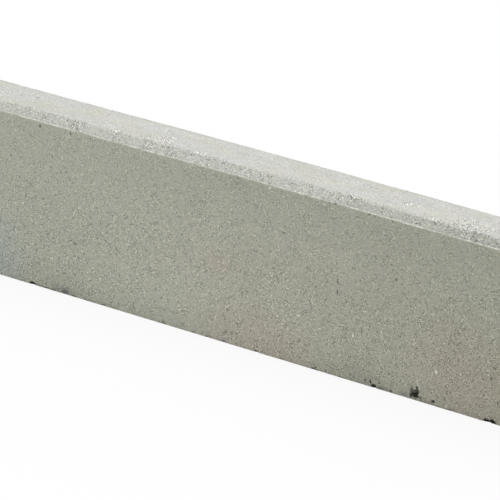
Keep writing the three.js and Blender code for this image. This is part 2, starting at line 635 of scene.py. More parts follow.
def pocket(along, up, length, height, depth, soiled_and_shaded, face=FRONT):
    """A pocket or chip on an upright face, with its sizes in millimetres. It leans up as it goes in."""
    inwards = 1.0 if face < 0.0 else -1.0
    radii = (length / 2 * MM, depth * MM, height / 2 * MM)
    return Mark((along * MM, face, up * MM), radii, (0.0, inwards, POCKET_LEAN), soiled_and_shaded, POCKET_RAGGED)


def on_front(along, up):
    """A place on this face, and the way into the stone there."""
    return (along * MM, FRONT, up * MM), (0, 1, 0)


def on_top(along, depth):
    return (along * MM, depth * MM, HEIGHT), (0, 0, -1)


def on_bevel(along, share):
    return (along * MM, *bevel_foot.lerp(flank_end, share)), (0, uphill.y, -uphill.x)


def dot(centre, way_in, radius):
    """A round pit or pebble."""
    return Mark(centre, (radius,) * 3, way_in)


def dots(face, rows):
    return [dot(*face(along, other), radius * MM) for along, other, radius in rows]


def strewn_chips():
    """Small dark chips along the foot, where none have set places, and along the back's foot."""
    rows = [(low, high, CHIPS_A_STRETCH, FRONT) for low, high in PLAIN_STRETCHES]
    rows.append((PLAIN_STRETCHES[0][0], PLAIN_STRETCHES[1][1], CHIPS_ON_BACK, BACK))
    half = LENGTH / 2
    chips = []
    for low, high, count, face in rows:
        for _ in range(count):
            along = random.uniform(low * half, high * half) / MM
            sizes = [random.uniform(*ends) for ends in CHIP_SIZES]
            chips.append(pocket(along, random.uniform(*CHIP_UP), *sizes, random.uniform(*CHIP_SOIL_AND_SHADE), face))
    return chips


def strewn_pits():
    """Small air pits on the back and the ends, with more small ones than large."""
    half = LENGTH / 2
    along = (-half + EDGE_MARGIN, half - EDGE_MARGIN)
    across = (FRONT + EDGE_MARGIN, BACK - EDGE_MARGIN)
    up = (EDGE_MARGIN, HEIGHT - BEVEL_RISE - EDGE_MARGIN)
    faces = [
        (PITS_ON_BACK, (0, -1, 0), along, (BACK, BACK)),
        (PITS_ON_END, (1, 0, 0), (-half, -half), across),
        (PITS_ON_END, (-1, 0, 0), (half, half), across),
    ]
    pits = []
    for count, way_in, x_ends, y_ends in faces:
        for _ in range(count):
            radius = PIT_RADII[0] + (PIT_RADII[1] - PIT_RADII[0]) * random.random() ** 2
            centre = [random.uniform(*ends) for ends in (x_ends, y_ends, up)]
            pits.append(dot(centre, way_in, radius))
    return pits


chips = [pocket(*row) for row in POCKETS + CHIPS] + strewn_chips()
pits = dots(on_front, FRONT_PITS) + dots(on_bevel, BEVEL_PITS) + dots(on_top, TOP_PITS) + strewn_pits()
pebbles = dots(on_front, FRONT_PEBBLES) + dots(on_bevel, BEVEL_PEBBLES) + dots(on_top, TOP_PEBBLES)
marks = chips + pits + pebbles
print(f"{len(chips)} pockets and chips, {len(pits)} pits and {len(pebbles)} pebbles")

# %% [markdown]
# ## Finer faces where they count
#
# Cells a few millimetres wide are enough for a flat face, but the bevel shows every grain. So only
# the cells near the bevel, an arris or a mark are halved, and halved again closer in. Blender fits
# the joints between coarse and fine by itself.

# %% Refine the block
def tree_of(points):
    """A tree that finds the points near a place quickly."""
    tree = kdtree.KDTree(len(points))
    for number, point in enumerate(points):
        tree.insert(point, number)
    tree.balance()
    return tree


mark_tree = tree_of([mark.centre for mark in marks])
LARGEST_MARK = max(mark.reach for mark in marks)
ON_STRIP = 1.0 * MM


def bevel_gap(y, z):
    """How far a point is from the bevel, along the strip."""
    number, off = unroll(y, z)
    gap = np.maximum(-number, number - BEVEL_TOP)
    return np.where(off < ON_STRIP, gap, LENGTH)


def arris_gap(x, y, z):
    """How far a point on the skin is from the nearest arris of the plain box."""
    gaps = [LENGTH / 2 - abs(x), THICKNESS / 2 - abs(y), np.minimum(z, HEIGHT - z)]
    return np.sort(np.stack(gaps), axis=0)[1]


def mark_gap(point):
    """How far a point is from the rim of the nearest mark."""
    found = mark_tree.find_range(point, LARGEST_MARK + CELL)
    return min((marks[number].gap(point) for _, number, _ in found), default=LENGTH)


def halve(near_bevel, near_arris, near_mark):
    """Halves the faces whose middle is this near to the bevel, an arris or a mark."""
    middles = [face.calc_center_median() for face in block.faces]
    x, y, z = np.array(middles).T
    near = (bevel_gap(y, z) < near_bevel) | (arris_gap(x, y, z) < near_arris)
    edges = set()
    for face, middle, picked in zip(block.faces, middles, near):
        if picked or mark_gap(middle) < near_mark:
            edges.update(face.edges)
    bmesh.ops.subdivide_edges(block, edges=list(edges), cuts=1, use_grid_fill=True, use_single_edge=True)
    print(f"  {len(block.faces)} faces")


NOWHERE = -LENGTH
# how near to the bevel, an arris and a mark each round of halving goes
ROUNDS = [(2.0 * MM, 2.0 * MM, 1.2 * MM), (0.4 * MM, NOWHERE, 0.6 * MM), (NOWHERE, NOWHERE, 0.1 * MM)]
for distances in ROUNDS:
    halve(*distances)

# %% [markdown]
# Each mark is pressed in along its own direction: a point inside the rounded form slides straight in
# until it meets the form's far side. Slow noise makes the form ragged, so that a pocket looks torn and
# not drilled. A pebble stands a hair proud instead. The pockets' dirt and painted shade, the pits and
# the pebbles are kept as numbers on the points, for the paint.

# %% Press the marks in
RAGGED_SIZE = 3.0 * MM
PEBBLE_PROUD = 0.2
# the pockets' dirt and painted shade spread a little past their rims
DIRT_AND_SHADE_SPILL = 1.35  # how far the dirt spreads past a pocket's rim, as a share of its half sizes
SOIL_AND_SHADE_FADE = 0.2
SEARCH_REACH = 1.8

block.verts.ensure_lookup_table()
vertex_tree = tree_of([vertex.co for vertex in block.verts])


def near_vertices(mark):
    found = vertex_tree.find_range(mark.centre, SEARCH_REACH * mark.reach)
    return [block.verts[number] for _, number, _ in found]


def press(hollow, layer):
    """Slides the vertices inside the hollow onto its far side, and marks those in it or close by."""
    for vertex in near_vertices(hollow):
        lump = 1.0 + 2.0 * hollow.ragged * noise.noise(vertex.co / RAGGED_SIZE)
        radii = hollow.radii * lump
        start = shares(vertex.co - hollow.centre, radii)
        step = shares(hollow.way_in, radii)
        spill = max(0.0, DIRT_AND_SHADE_SPILL - start.length) / DIRT_AND_SHADE_SPILL
        vertex[layer] = max(vertex[layer], spill)
        vertex[soil_and_shade_layer] = max(vertex[soil_and_shade_layer], hollow.soiled_and_shaded * min(1.0, spill / SOIL_AND_SHADE_FADE))
        outside = start.length_squared - 1.0
        if outside < 0.0:
            half = start.dot(step) / step.length_squared
            slide = math.sqrt(half * half - outside / step.length_squared) - half
            vertex.co += slide * hollow.way_in


def raise_pebble(pebble, layer):
    """Lifts the vertices over a pebble into a low dome."""
    for vertex in near_vertices(pebble):
        share = 1.0 - ((vertex.co - pebble.centre).length / pebble.reach) ** 2
        if share > 0.0:
            vertex.co -= PEBBLE_PROUD * pebble.reach * share * pebble.way_in
        vertex[layer] = max(vertex[layer], share)


# kept on the points: the pockets' dirt and painted shade, how strong it is, the pits and the pebbles
layers = [block.verts.layers.float.new(name) for name in ("dirt_and_shade", "soil_and_shade", "pit", "pebble")]
dirt_and_shade_layer, soil_and_shade_layer, pit_layer, pebble_layer = layers
for chip in chips:
    press(chip, dirt_and_shade_layer)
for pit in pits:
    press(pit, pit_layer)
for pebble in pebbles:
    raise_pebble(pebble, pebble_layer)

deepest = max(vertex.co.y - FRONT for vertex in near_vertices(chips[0]) if vertex[dirt_and_shade_layer] > 0.0)
print(f"the big pocket goes in {deepest / MM:.1f} mm")

# %% Turn the block into a mesh with its guides
skin_mesh = bpy.data.meshes.new("kerb_skin")
block.to_mesh(skin_mesh)
block.free()
skin_mesh.shade_smooth()

coordinates = np.empty(len(skin_mesh.vertices) * 3, dtype=np.float32)
skin_mesh.vertices.foreach_get("co", coordinates)
x, y, z = coordinates.reshape(-1, 3).T.astype(float)


def store(name, values):
    """Keeps one number for each point of the skin, under a name that node trees can read."""
    layer = skin_mesh.attributes.new(name, "FLOAT", "POINT")
    layer.data.foreach_set("value", np.asarray(values, dtype=np.float32))


# where the plate tore the skin off the top: along the stone, depth, half length, half width, how torn
TORN_PATCHES = [
    (-365, 4, 40, 22, 0.22), (-326, 9, 7, 14, 0.5), (-192, -20, 9, 4, 0.7), (-133, -9, 12, 13, 1.0),
    (-150, 16, 8, 7, 0.5), (-75, -19, 10, 4, 0.9), (17, 17, 7, 6, 0.45), (130, -19, 8, 4, 0.8),
    (104, 14, 9, 8, 0.35), (190, 0.5, 10, 4.5, 1.7), (235, -20, 8, 4, 1.2), (275, -9, 25, 14, 1.15),
    (296, 18, 14, 6, 0.4), (410, 8, 30, 12, 0.7), (-440, 2, 22, 10, 0.6),
]
# stretches of the bevel: along the stone, half length, and how bare the sand lies there
BEVEL_STRETCHES = [
    (-430, 30, 0.8), (-322, 27, 0.45), (-280, 12, 0.75), (-248, 14, 1.2), (-183, 13, 0.8), (-142, 10, 1.1),
    (-116, 10, 0.8), (-84, 9, 0.45), (-64, 11, 1.05), (-24, 25, 0.6), (16, 12, 0.65), (66, 18, 0.9),
    (105, 13, 1.0), (134, 9, 0.8), (178, 12, 0.35), (215, 16, 0.6), (238, 6, 0.85), (258, 7, 0.45),
    (294, 28, 1.0), (365, 16, 0.8), (410, 20, 0.6), (462, 20, 0.9),
]
# stretches of the pale line along the plate's rim, partly pale cement and partly painted highlight:
# along the stone, half length, and how clear it is
RIM_STRETCHES = [
    (-420, 25, 0.6), (-285, 38, 0.75), (-205, 14, 0.7), (-143, 22, 0.85), (-20, 14, 0.5), (28, 20, 0.5),
    (74, 18, 0.9), (160, 34, 0.75), (221, 26, 0.9), (302, 28, 0.9), (420, 40, 0.8),
]
PLAIN_BARENESS = 0.3
PLAIN_RIM = 0.25
BLEND = 8.0
TORN_SLOPE = 2.0
TORN_DEPTH = 1.0 * MM


def along_stone(stretches, plain):
    """A number for each point: the plain one, and near each stretch its own, blended at its ends."""
    level = np.full_like(x, plain)
    for along, half_length, value in stretches:
        share = np.clip((half_length - abs(x / MM - along)) / BLEND + 0.5, 0.0, 1.0)
        level += share * (value - level)
    return level


torn = np.zeros_like(x)
for along, depth, half_length, half_width, level in TORN_PATCHES:
    reach = np.hypot((x / MM - along) / half_length, (y / MM - depth) / half_width)
    share = np.clip(0.5 + TORN_SLOPE * (1.0 - reach), 0.0, 1.0)
    torn = np.maximum(torn, level * share * (z > HEIGHT - TORN_DEPTH))

store("strip", unroll(y, z)[0])
store("arris_gap", arris_gap(x, y, z))
store("torn", torn)
store("bare", along_stone(BEVEL_STRETCHES, PLAIN_BARENESS))
store("rim_line", along_stone(RIM_STRETCHES, PLAIN_RIM))
skin = put("kerb_skin", skin_mesh)
print(f"{len(skin_mesh.vertices)} points carry the guides")

# %% [markdown]
# ## The concrete's colour
#
# Concrete is grey sand held in grey cement, so its colour has several scales at once: broad clouds
# where the mix was wetter, a sandy speckle of about a millimetre, and single pale or dark grains.
# The speckle is faint where the cement skin is closed, as on the top, and strong where the sand lies
# open, as in patches of the bevel. A pale line runs along the rim, partly pale cement and partly a
# painted highlight, with a line of painted shade on the bevel just above it. Pockets hold moss and
# dirt and are painted darker inside as shade, and the foot is painted darker as shade.
# Each of these is a mask from 0 to 1, and the colours are laid one over the other.

# %% Name the colours
FACE_GREY = display(181, 183, 169)
TOP_NEUTRAL = display(199, 199, 195)
TOP_CREAM = display(198, 198, 189)
BEVEL_GREY = display(196, 197, 189)
# the rim line's colour: pale cement, with a painted highlight where the shelf catches the overhead light
RIM_PALE_AND_HIGHLIGHT = display(226, 226, 215)
PALE_STONE = display(228, 227, 218)
DARK_STONE = display(112, 113, 104)
# moss and dirt in the pockets, with painted shade; the second colour is the deepest shade in their middles
MOSS_AND_SHADE = display(34, 50, 40)
DEEP_SHADE_AND_DIRT = display(22, 24, 16)
PIT_SHADE = display(88, 90, 80)
# painted shade along the foot
FOOT_SHADE = display(124, 125, 115)
COOL = display(170, 178, 172)
WARM = display(184, 182, 168)
BLUSH = display(186, 175, 162)
DUSK = display(152, 153, 139)
RIGHT_END_GREY = display(152, 153, 136)
CHALK = display(190, 192, 178)
ASH = display(140, 142, 138)

# along the stone, up from the bed, half length and half height, in millimetres, colour, strength
STAINS = [
    (-420, 120, 240, 220, DUSK, 0.10), (0, 176, 420, 46, DUSK, 0.16), (-250, 12, 60, 24, DUSK, 0.19),
    (132, 10, 76, 30, DUSK, 0.34), (-352, 20, 38, 56, COOL, 0.65), (-262, 3, 22, 6, ASH, 0.7),
    (60, 40, 360, 150, WARM, 0.4), (-60, 22, 170, 60, CHALK, 0.5), (20, 12, 100, 50, BLUSH, 0.6),
    (285, 32, 110, 82, BLUSH, 0.64), (-44, 88, 22, 16, BLUSH, 0.6), (-18, 184, 20, 12, DUSK, 0.25),
    (205, 3, 9, 5, ASH, 0.9), (235, 1, 16, 4, ASH, 0.7), (178, 3, 9, 4, ASH, 0.7),
    # the wide last oval makes the front darker towards its right end
    (640, 120, 620, 420, RIGHT_END_GREY, 0.42),
]
print(f"{len(STAINS)} stains")

# %% Set out where each paint lies
SAND = 0.8 * MM
COARSE_SAND = 2.2 * MM
TEAR = 4 * MM
SMEAR_BARE = 0.7  # where the sand is less bare than this, the top's skin is smeared over the bevel
SMEAR_LEFT = 5 * MM
SMEAR_RIGHT = 2.2 * MM
LONG = (0.3, 1.0, 1.0)  # draws a pattern out along the stone

# noise: how big its lumps are, how much finer ones ride on them, and how strong those are
CLOUDS = (70 * MM, 3.0, 0.5)
BLOTCHES = (9 * MM, 3.0, 0.6)
DUST = (0.65 * MM, 2.0, 0.7)
RAGGED = (5 * MM, 3.0, 0.6)
PATCHES = (5.5 * MM, 2.0, 0.5)
STREAKS = (11 * MM, 3.0, 0.6)
TINTS = (16 * MM, 2.0, 0.5)
GAPS = (12 * MM, 4.0, 0.75)

# soft steps: where each starts and where it's full, then what it gives there if that isn't 0 and 1
INBOARD = (LENGTH / 2 - 0.3 * MM, LENGTH / 2 - END_ROUND)
TO_RIGHT = (40 * MM, 340 * MM)
FRONT_FACE = (FRONT + 3 * MM, FRONT + 1 * MM)
BEVEL_START = (0.2 * SHELF, 0.9 * SHELF)
BEVEL_END = (BEVEL_TOP - 1.2 * MM, FLANK_TOP - 0.4 * MM)
TOP_START = (FLANK_TOP, BEVEL_TOP - 1.2 * MM)
TOP_END = (TOP_EDGE + 2 * MM, TOP_EDGE - 1 * MM)
BACK_LINE = (TOP_EDGE - 9 * MM, TOP_EDGE - 1 * MM)
CREAM = (0.36, 0.64)
PATCHINESS = (0.4, 0.6, 0.6, 1.46)
RIM_CLEAR = (0.40, 0.58, 0.25, 1.0)
STAIN_EDGE = (1.3, 0.1)
PEBBLE_EDGE = (0.2, 0.55)
GRAIN_EDGE = (0.42, 0.26)
PALE_GRAINS = (0.99, 1.0)
DARK_GRAINS = (0.01, 0.0)
PIT_EDGE = (0.12, 0.25, 0.0, 0.5)
# the thin band of painted shade along the foot
FOOT_SHADE_EDGE = (2.2 * MM, 0.2 * MM, 0.0, 0.08)
# where the pockets' moss, dirt and painted shade start, and where their deepest shade starts
DIRT_AND_SHADE_EDGE = (0.1, 0.42)
DEEP_SHADE_EDGE = (0.35, 0.7)

# windows on the strip: where each starts, is full, stops being full, and ends
AT_RIM = (-1.0 * MM, -0.3 * MM, SHELF, SHELF + 0.6 * MM)
BELOW_RIM = (-3.0 * MM, 0.0, 0.0, 0.1 * MM)
# painted shade in the crease of the bevel just above the shelf
GROOVE_SHADE_WINDOW = (1.3 * MM, 2.4 * MM, 3.2 * MM, 4.4 * MM)

# rows of steps that are added up: start and full in millimetres, and how strong each is
BEVEL_DUSK = [(-80, -160, 0.06), (100, 150, 0.27), (220, 340, 0.09)]
TOP_TONE = [(40, 280, 0.018), (-200, -320, -0.02)]
# darker towards the bed, as painted shade at the foot
FOOT_SHADE_STEPS = [(30, 0, 0.03), (7, 0, 0.005)]


def steps(value, rows):
    """Adds up rows of soft steps."""
    return sum(value.rise(start * MM, full * MM, 0.0, strength) for start, full, strength in rows)


def bands(graph, x, y, ragged):
    """Masks for the faces and for the lines that run along the rim and the back edge."""
    strip = graph.attribute("strip")
    inboard = graph.math("ABSOLUTE", x).rise(*INBOARD)
    to_right = x.rise(*TO_RIGHT)
    smeared = (SMEAR_BARE - graph.attribute("bare")) * (1.0 - to_right) * SMEAR_LEFT
    edge = strip + ragged * TEAR + smeared + to_right * SMEAR_RIGHT
    on_top = edge.rise(*TOP_START) * edge.rise(*TOP_END) * inboard
    return {
        "right": to_right,
        "front": y.rise(*FRONT_FACE),
        "bevel": edge.rise(*BEVEL_END) * strip.rise(*BEVEL_START) * inboard,
        "top": on_top,
        "back line": strip.rise(*BACK_LINE) * on_top,
        "rim": strip.window(*AT_RIM) * inboard,
        "below rim": strip.window(*BELOW_RIM),
        "groove shade": strip.window(*GROOVE_SHADE_WINDOW),
    }


print("paint set out")

# %% Paint the concrete
DARKEST = 0.25
OPENEST = 1.2

# the speckle: its grains and dust, its strength on closed skin, what open sand adds, how much calmer
# pebbles are, its level in all, to the right and on the bevel, and its bump
GRAIN_SPECK = 6.4
DUST_SPECK = 3.0
CLOSED_SPECK = 0.15
OPEN_SPECK = 1.3
PEBBLE_CALM = 0.6
SPECK_LEVEL = 0.89
SPECK_RIGHT = 0.07
SPECK_BEVEL = 0.03
BUMP_STRENGTH = 0.8
BUMP_HEIGHT = 0.45 * MM

# how far the slow patterns swing the tone, and how much paler or darker single parts are
CLOUD_SWING = 0.06
BLOTCH_SWING = 0.02
STREAK_SWING = 0.24
TORN_PALER = 0.1
# how dark the painted shade in the crease above the shelf is, and the darker line by the back edge
GROOVE_SHADE_AND_BACK_LINE = 0.045
BELOW_RIM_PALER = 0.12

# how far the noise tears the rims of the stains and of the pockets' dirt and painted shade
CLOUD_TEAR = 0.55
STAIN_TEAR = 0.11
DIRT_AND_SHADE_TEAR = 0.25

# single grains: how many more lie on open sand, how clear they are, and how much clearer there
MORE_PALE = 0.10
MORE_DARK = 0.04
GRAIN_CLEAR = 0.2
GRAIN_CLEARER = 0.6


def mix(graph, factor, under, over, blend="MIX"):
    """Lays one colour over another."""
    colours = {"A": under, "B": over}
    sockets = {key: value if isinstance(value, Wire) else (*value, 1.0) for key, value in colours.items()}
    sockets["Factor"] = factor
    return graph.node("ShaderNodeMix", sockets, "Result", data_type="RGBA", blend_type=blend)


def shaded(graph, colour, shade):
    """Makes a colour darker or paler by a share."""
    grey = graph.node("ShaderNodeCombineColor", {0: shade, 1: shade, 2: shade})
    return mix(graph, 1.0, colour, grey, "MULTIPLY")


def coat(graph, sockets):
    """Ends a material with its one shader."""
    shader = graph.node("ShaderNodeBsdfPrincipled", sockets)
    graph.node("ShaderNodeOutputMaterial", {"Surface": shader})


def grains(graph, place, size, channel):
    """For grains of this size: a random number that each one keeps, and how far off its middle is."""
    gap = graph.cells(place, size)
    return graph.node("ShaderNodeSeparateColor", {0: graph.beside(gap, "Color")}, channel), gap


def stained(graph, colour, x, z, tears):
    """Lays each stain on the front as a soft, torn oval."""
    for along, up, half_length, half_height, tint, strength in STAINS:
        across = (x - along * MM) / (half_length * MM)
        over = (z - up * MM) / (half_height * MM)
        reach = graph.math("SQRT", across * across + over * over) + tears
        colour = mix(graph, reach.rise(*STAIN_EDGE, 0.0, strength), colour, tint)
    return colour


def with_grains(graph, colour, place, opened):
    """Lays single pale and dark grains over the colour, more and clearer where the sand is open."""
    kind, gap = grains(graph, place, COARSE_SAND, "Green")
    clear = gap.rise(*GRAIN_EDGE) * (GRAIN_CLEAR + GRAIN_CLEARER * opened)
    pale = (kind + MORE_PALE * opened).rise(*PALE_GRAINS)
    dark = (kind - MORE_DARK * opened).rise(*DARK_GRAINS)
    colour = mix(graph, pale * clear, colour, PALE_STONE)
    return mix(graph, dark * clear, colour, DARK_STONE)


def dirtied_and_shaded(graph, colour, z, ragged):
    """Paints shade into the pits and along the foot, and fills the pockets with moss, dirt and painted
    shade.
    """
    colour = mix(graph, graph.attribute("pit").rise(*PIT_EDGE), colour, PIT_SHADE)
    # a thin band of painted shade along the foot's rounded edge
    colour = mix(graph, (z + ragged * TEAR).rise(*FOOT_SHADE_EDGE), colour, FOOT_SHADE)
    # pockets: moss and dirt, with painted shade darkest in their middles
    dirt_and_shade = graph.attribute("dirt_and_shade") + ragged * DIRT_AND_SHADE_TEAR
    pocket_moss_and_shade = mix(graph, dirt_and_shade.rise(*DEEP_SHADE_EDGE), MOSS_AND_SHADE, DEEP_SHADE_AND_DIRT)
    return mix(graph, dirt_and_shade.rise(*DIRT_AND_SHADE_EDGE) * graph.attribute("soil_and_shade"), colour, pocket_moss_and_shade)


def concrete_material():
    """The concrete, from the ground colours through the speckle to the dirt and the painted shade."""
    material, graph, place = new_material("cast_concrete")
    x, y, z = graph.axes(place)
    drawn_out = graph.vector("MULTIPLY", place, LONG)
    clouds = graph.swell(place, *CLOUDS)
    ragged = graph.swell(place, *RAGGED)
    dust = graph.swell(place, *DUST)
    sand = grains(graph, place, SAND, "Red")[0] - 0.5
    opened = graph.math("MINIMUM", graph.attribute("open_sand"), OPENEST)
    pebble = graph.attribute("pebble").rise(*PEBBLE_EDGE)
    on = bands(graph, x, y, ragged)

    stains = stained(graph, FACE_GREY, x, z, CLOUD_TEAR * clouds + STAIN_TEAR * ragged)
    colour = mix(graph, on["front"], FACE_GREY, stains)
    cream = graph.noise(drawn_out, *TINTS).rise(*CREAM)
    colour = mix(graph, on["top"], colour, mix(graph, cream, TOP_NEUTRAL, TOP_CREAM))
    colour = mix(graph, on["bevel"], colour, mix(graph, steps(x, BEVEL_DUSK), BEVEL_GREY, DUSK))
    colour = mix(graph, pebble, colour, PALE_STONE)

    speck = sand * sand * sand * GRAIN_SPECK + dust * DUST_SPECK
    patchy = graph.noise(place, *PATCHES).rise(*PATCHINESS)
    contrast = (CLOSED_SPECK + OPEN_SPECK * opened) * patchy * (1.0 - PEBBLE_CALM * pebble)
    contrast = contrast * (SPECK_LEVEL + SPECK_RIGHT * on["right"] - SPECK_BEVEL * on["bevel"])
    streaks = graph.swell(drawn_out, *STREAKS) * STREAK_SWING + steps(x, TOP_TONE)
    cloud = clouds * CLOUD_SWING + graph.swell(place, *BLOTCHES) * BLOTCH_SWING + streaks * on["top"]
    share = 1.0 + speck * contrast + cloud + TORN_PALER * graph.attribute("torn")
    # darker towards the bed, as painted shade at the foot
    share = graph.math("MAXIMUM", share, DARKEST) * (1.0 - steps(z, FOOT_SHADE_STEPS))
    # painted shade in the crease above the shelf, and a darker line by the back edge of the top
    share = share * (1.0 - GROOVE_SHADE_AND_BACK_LINE * on["groove shade"]) * (1.0 - GROOVE_SHADE_AND_BACK_LINE * on["back line"])
    colour = shaded(graph, colour, share)

    # the rim line: partly pale cement, partly a painted highlight where the shelf catches the overhead
    # light, with a faint paler fringe just below it
    gaps = graph.noise(graph.node("ShaderNodeCombineXYZ", {0: x}), *GAPS).rise(*RIM_CLEAR)
    line = on["rim"] * graph.attribute("rim_line") * gaps
    line = graph.math("MAXIMUM", line, BELOW_RIM_PALER * on["below rim"])
    colour = mix(graph, line, colour, RIM_PALE_AND_HIGHLIGHT)
    colour = dirtied_and_shaded(graph, with_grains(graph, colour, place, opened), z, ragged)

    relief = {"Height": (dust + sand) * 0.5 * contrast, "Strength": BUMP_STRENGTH, "Distance": BUMP_HEIGHT}
    bump = graph.node("ShaderNodeBump", relief)
    coat(graph, {"Base Color": colour, "Roughness": 0.92, "Specular IOR Level": 0.25, "Normal": bump})
    return material


concrete = concrete_material()
print(f"concrete painted with {len(concrete.node_tree.nodes)} nodes")

# %% [markdown]
# ## Relief that follows the faces
#
# Geometry Nodes push every point in or out along its own normal. Several reliefs are added up: slow
# waves, because no mould is quite flat; a finer ripple; the open sand of the bevel; the shallow hollows
# where the top is torn; the burr that the press plate's rim squeezes up; and wear at the arrises. Last
# comes a slight camber: the top is a little high near the middle and about a millimetre low at the
# ends, over a flat bed. The tree also keeps how open the sand is at each point and how thick the grit
# lies there, for the paint and the grit. The sizes are the tree's inputs, so that another stone can be
# rougher.

# %% Weather the skin
WEATHER = {
    "Wave height": 0.25 * MM,
    "Wave size": 90 * MM,
    "Ripple height": 0.07 * MM,
    "Ripple size": 11 * MM,
    "Bevel roughness": 0.55 * MM,
    "Bevel grain size": 2.0 * MM,
    "Patch size": 15 * MM,
    "Torn depth": 0.3 * MM,
    "Rim burr": 0.35 * MM,
    "Arris wear": 0.6 * MM,
    "Bed roughness": 0.15 * MM,
    "Camber": 0.65 * MM,
}
CAMBER_MIDDLE = 13 * MM  # where along the stone the top is highest
CAMBER_SINK = 0.57  # the share of the camber's height that the curve is let down by
PATCHES_LONG = (0.4, 1.0, 1.0)
CHIPPING = (7 * MM, 3.0, 0.6)

# soft steps and windows, as for the paint
RELIEF_INBOARD = (LENGTH / 2, LENGTH / 2 - 3 * MM)
RELIEF_BEVEL = (0.5 * SHELF, SHELF, FLANK_TOP, BEVEL_TOP)
RELIEF_TOP = (FLANK_TOP, BEVEL_TOP, TOP_EDGE, TOP_EDGE + 2 * MM)
BURR = (-1.5 * MM, 0.0, SHELF, SHELF + 0.6 * MM)
ARRIS_STEP = (2.6 * MM, 0.2 * MM)
BED_STEP = (1.0 * MM, 0.0)
PATCH_STEP = (0.42, 0.62)
LOWER_STEP = (195 * MM, 95 * MM)
LEFT_STEP = (-220 * MM, -330 * MM)
CHIPPING_STEP = (0.45, 0.75)

# how open the sand is on a face, what other things add to it, and how open it is elsewhere
FACE_OPEN = 0.36
LOWER_OPENER = 0.2
PATCH_OPENER = 0.08
LEFT_CLOSER = 0.14
SLOPE_OPEN = 0.6
TOP_OPEN = 0.24
TORN_OPENER = 0.6
TORN_GRIT = 0.3

DOME_LEVEL = 0.45  # how far from its middle a grain of the bevel stands out, as a share of its size
CLOSED_RELIEF = 0.3
LEAST_WEAR = 0.1
BED_SPARED = 0.85


def geometry_tree(name, inputs):
    """A Geometry Nodes tree with a Geometry input and named numbers, and the wires from them."""
    tree = bpy.data.node_groups.new(name, "GeometryNodeTree")
    tree.interface.new_socket("Geometry", in_out="INPUT", socket_type="NodeSocketGeometry")
    for label in inputs:
        tree.interface.new_socket(label, in_out="INPUT", socket_type="NodeSocketFloat")
    tree.interface.new_socket("Geometry", in_out="OUTPUT", socket_type="NodeSocketGeometry")
    graph = Graph(tree)
    group_input = graph.node("NodeGroupInput").socket.node
    wires = {label: Wire(graph, group_input.outputs[label]) for label in ["Geometry", *inputs]}
    return graph, wires


def named(graph, label):
    """A number stored on the mesh, for a geometry tree."""
    return graph.node("GeometryNodeInputNamedAttribute", {"Name": label}, "Attribute", data_type="FLOAT")


def kept(graph, geometry, label, value):
    """Stores a number for each point under a name."""
    sockets = {"Geometry": geometry, "Name": label, "Value": value}
    return graph.node("GeometryNodeStoreNamedAttribute", sockets, data_type="FLOAT", domain="POINT")


def hand_out(graph, geometry, material):
    """Ends a tree: copies become real faces, and all faces get the material."""
    real = graph.node("GeometryNodeRealizeInstances", {"Geometry": geometry})
    painted = graph.node("GeometryNodeSetMaterial", {"Geometry": real, "Material": material})
    graph.node("NodeGroupOutput", {"Geometry": painted})
    return graph.tree


def weather_tree(material):
    """The tree that pushes the skin in and out, and keeps how open the sand is."""
    graph, wires = geometry_tree("weathering", WEATHER)
    place = graph.node("GeometryNodeInputPosition")
    x, _, z = graph.axes(place)
    strip = named(graph, "strip")
    torn = named(graph, "torn")

    def swing(size, detail):
        """Noise from -1 to 1."""
        return graph.swell(place, wires[size], detail) * 2.0

    inboard = graph.math("ABSOLUTE", x).rise(*RELIEF_INBOARD)
    on_bevel = strip.window(*RELIEF_BEVEL) * inboard
    on_top = strip.window(*RELIEF_TOP) * inboard
    on_bed = z.rise(*BED_STEP)

    patches = graph.noise(graph.vector("MULTIPLY", place, PATCHES_LONG), wires["Patch size"])
    patches = patches.rise(*PATCH_STEP)
    lower = z.rise(*LOWER_STEP)
    closed = x.rise(*LEFT_STEP) * (1.0 - lower)
    on_face = FACE_OPEN + LOWER_OPENER * lower + PATCH_OPENER * patches - LEFT_CLOSER * closed
    on_slope = named(graph, "bare") * (SLOPE_OPEN + SLOPE_OPEN * patches)
    open_sand = (1.0 - on_bevel) * (1.0 - on_top) * on_face + on_bevel * on_slope + on_top * TOP_OPEN
    open_sand = graph.math("MAXIMUM", open_sand, torn * (1.0 + TORN_OPENER * patches))
    grit_share = graph.math("MAXIMUM", on_bevel, torn * TORN_GRIT)

    wave = swing("Wave size", 1.0) * wires["Wave height"] * (1.0 - on_bed)
    ripple = swing("Ripple size", 3.0) * wires["Ripple height"]
    domes = (DOME_LEVEL - graph.cells(place, wires["Bevel grain size"])) * wires["Bevel roughness"]
    sand = domes * on_bevel * (CLOSED_RELIEF + (1.0 - CLOSED_RELIEF) * open_sand)
    hollow = wires["Torn depth"] * torn * -1.0
    burr = swing("Ripple size", 4.0) * wires["Rim burr"] * strip.window(*BURR)
    chipping = LEAST_WEAR + graph.noise(place, *CHIPPING).rise(*CHIPPING_STEP)
    worn = named(graph, "arris_gap").rise(*ARRIS_STEP) * (BED_SPARED * on_bed - 1.0)
    wear = chipping * wires["Arris wear"] * worn
    tamped = swing("Ripple size", 4.0) * wires["Bed roughness"] * on_bed

    height = wave + ripple + sand + hollow + burr + wear + tamped
    push = graph.vector("SCALE", graph.node("GeometryNodeInputNormal"), height)
    arch = graph.math("COSINE", (x - CAMBER_MIDDLE) * (2 * math.pi / LENGTH)) - CAMBER_SINK
    lift = graph.node("ShaderNodeCombineXYZ", {2: arch * wires["Camber"] * z / HEIGHT})
    shift = graph.vector("ADD", push, lift)
    moved = graph.node("GeometryNodeSetPosition", {"Geometry": wires["Geometry"], "Offset": shift})
    moved = kept(graph, moved, "open_sand", open_sand)
    return hand_out(graph, kept(graph, moved, "grit_share", grit_share), material)


